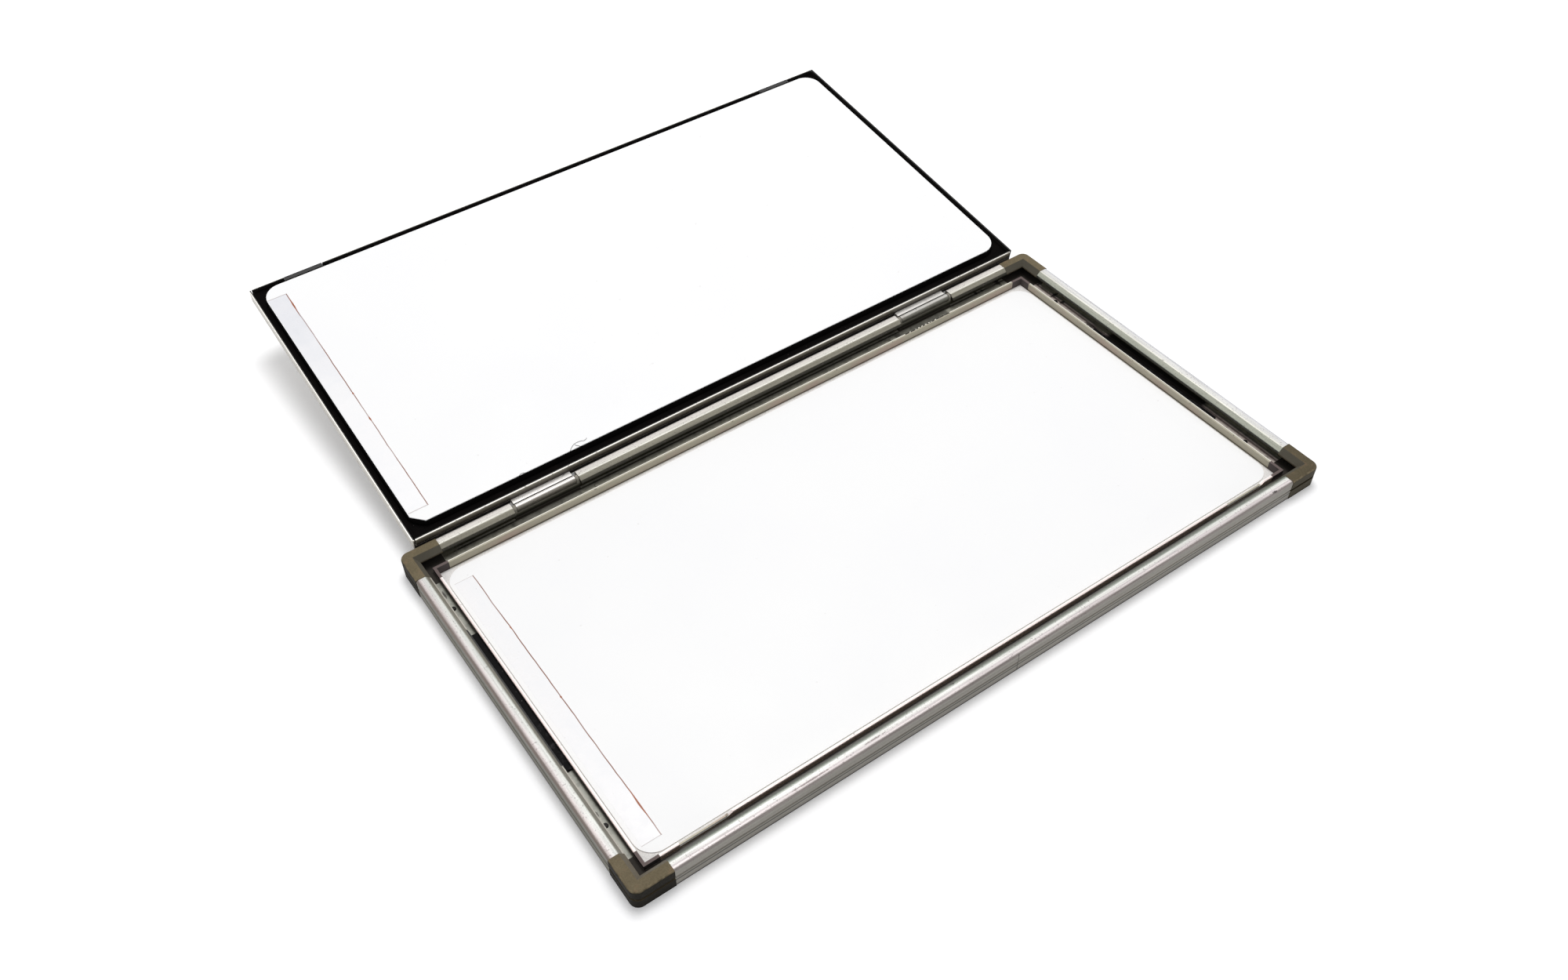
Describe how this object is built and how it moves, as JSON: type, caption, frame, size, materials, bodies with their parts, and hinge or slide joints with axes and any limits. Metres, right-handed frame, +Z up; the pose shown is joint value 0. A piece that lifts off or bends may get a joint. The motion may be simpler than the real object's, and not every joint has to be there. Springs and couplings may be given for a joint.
{
  "type": "x-ray film cassette",
  "caption": "A hinged metal x-ray film cassette for panoramic film, lying open, with white screens and a black foam lined lid",
  "frame": {"origin": "Centre of the front frame's flat bottom face, which is the face the cassette rests on", "axes": "+X runs along the hinge from left to right, +Y points from the free side to the hinge side, +Z is up"},
  "size_m": [0.3274, 0.3413, 0.0357],
  "materials": {
    "tray_aluminium": "satin",
    "rail_metal": "satin",
    "corner_plastic": "satin",
    "liner_card": "matte",
    "screen_white": "satin",
    "strip_film": "gloss",
    "black_strip": "matte",
    "rivet_dark": "satin",
    "hinge_steel": "satin",
    "lid_metal": "satin",
    "foil_grey": "matte",
    "foam_black": "matte",
    "guide_steel": "satin",
    "latch_black": "satin",
    "spring_steel": "satin"
  },
  "bodies": {
    "frame": {"front_panel": "tray_aluminium", "rail_front": "rail_metal", "rail_back": "rail_metal", "rail_left": "rail_metal", "rail_right": "rail_metal", "corner_front_left": "corner_plastic", "corner_front_right": "corner_plastic", "corner_back_left": "corner_plastic", "corner_back_right": "corner_plastic", "front_liner": "liner_card", "front_screen": "screen_white", "front_id_strip": "strip_film", "seal_strip_left": "black_strip", "seal_strip_right": "black_strip", "channel_rivets": "rivet_dark", "hinge_block_left": "hinge_steel", "hinge_block_right": "hinge_steel", "hinge_pin_left": "hinge_steel", "hinge_pin_right": "hinge_steel", "hinge_rivets": "hinge_steel"},
    "lid": {"back_panel": "tray_aluminium", "lid_pan": "lid_metal", "lead_foil": "foil_grey", "pressure_pad": "foam_black", "seal_foam": "foam_black", "back_screen": "screen_white", "back_id_strip": "strip_film", "hinge_leaf_left": "hinge_steel", "hinge_leaf_right": "hinge_steel", "leaf_rivets": "hinge_steel", "latch_guide_left": "guide_steel", "latch_guide_right": "guide_steel"},
    "latch_left": {"latch_tongue_left": "latch_black", "latch_button_left": "latch_black", "latch_spring_left": "spring_steel"},
    "latch_right": {"latch_tongue_right": "latch_black", "latch_button_right": "latch_black", "latch_spring_right": "spring_steel"}
  },
  "joints": [
    {"name": "lid_hinge", "type": "hinge", "parent": "frame", "child": "lid", "pos_m": [0, 0.0855, 0.0081], "axis": [1, 0, 0], "range_deg": [0, 172.34]},
    {"name": "latch_left_slide", "type": "slide", "parent": "lid", "child": "latch_left", "axis": [0, -0.9911, -0.1333], "range_m": [0, 0.0022], "stiffness_N_per_m": 300, "springref_m": -0.002, "deforming": ["latch_spring_left"]},
    {"name": "latch_right_slide", "type": "slide", "parent": "lid", "child": "latch_right", "axis": [0, -0.9911, -0.1333], "range_m": [0, 0.0022], "stiffness_N_per_m": 300, "springref_m": -0.002, "deforming": ["latch_spring_right"]}
  ]
}
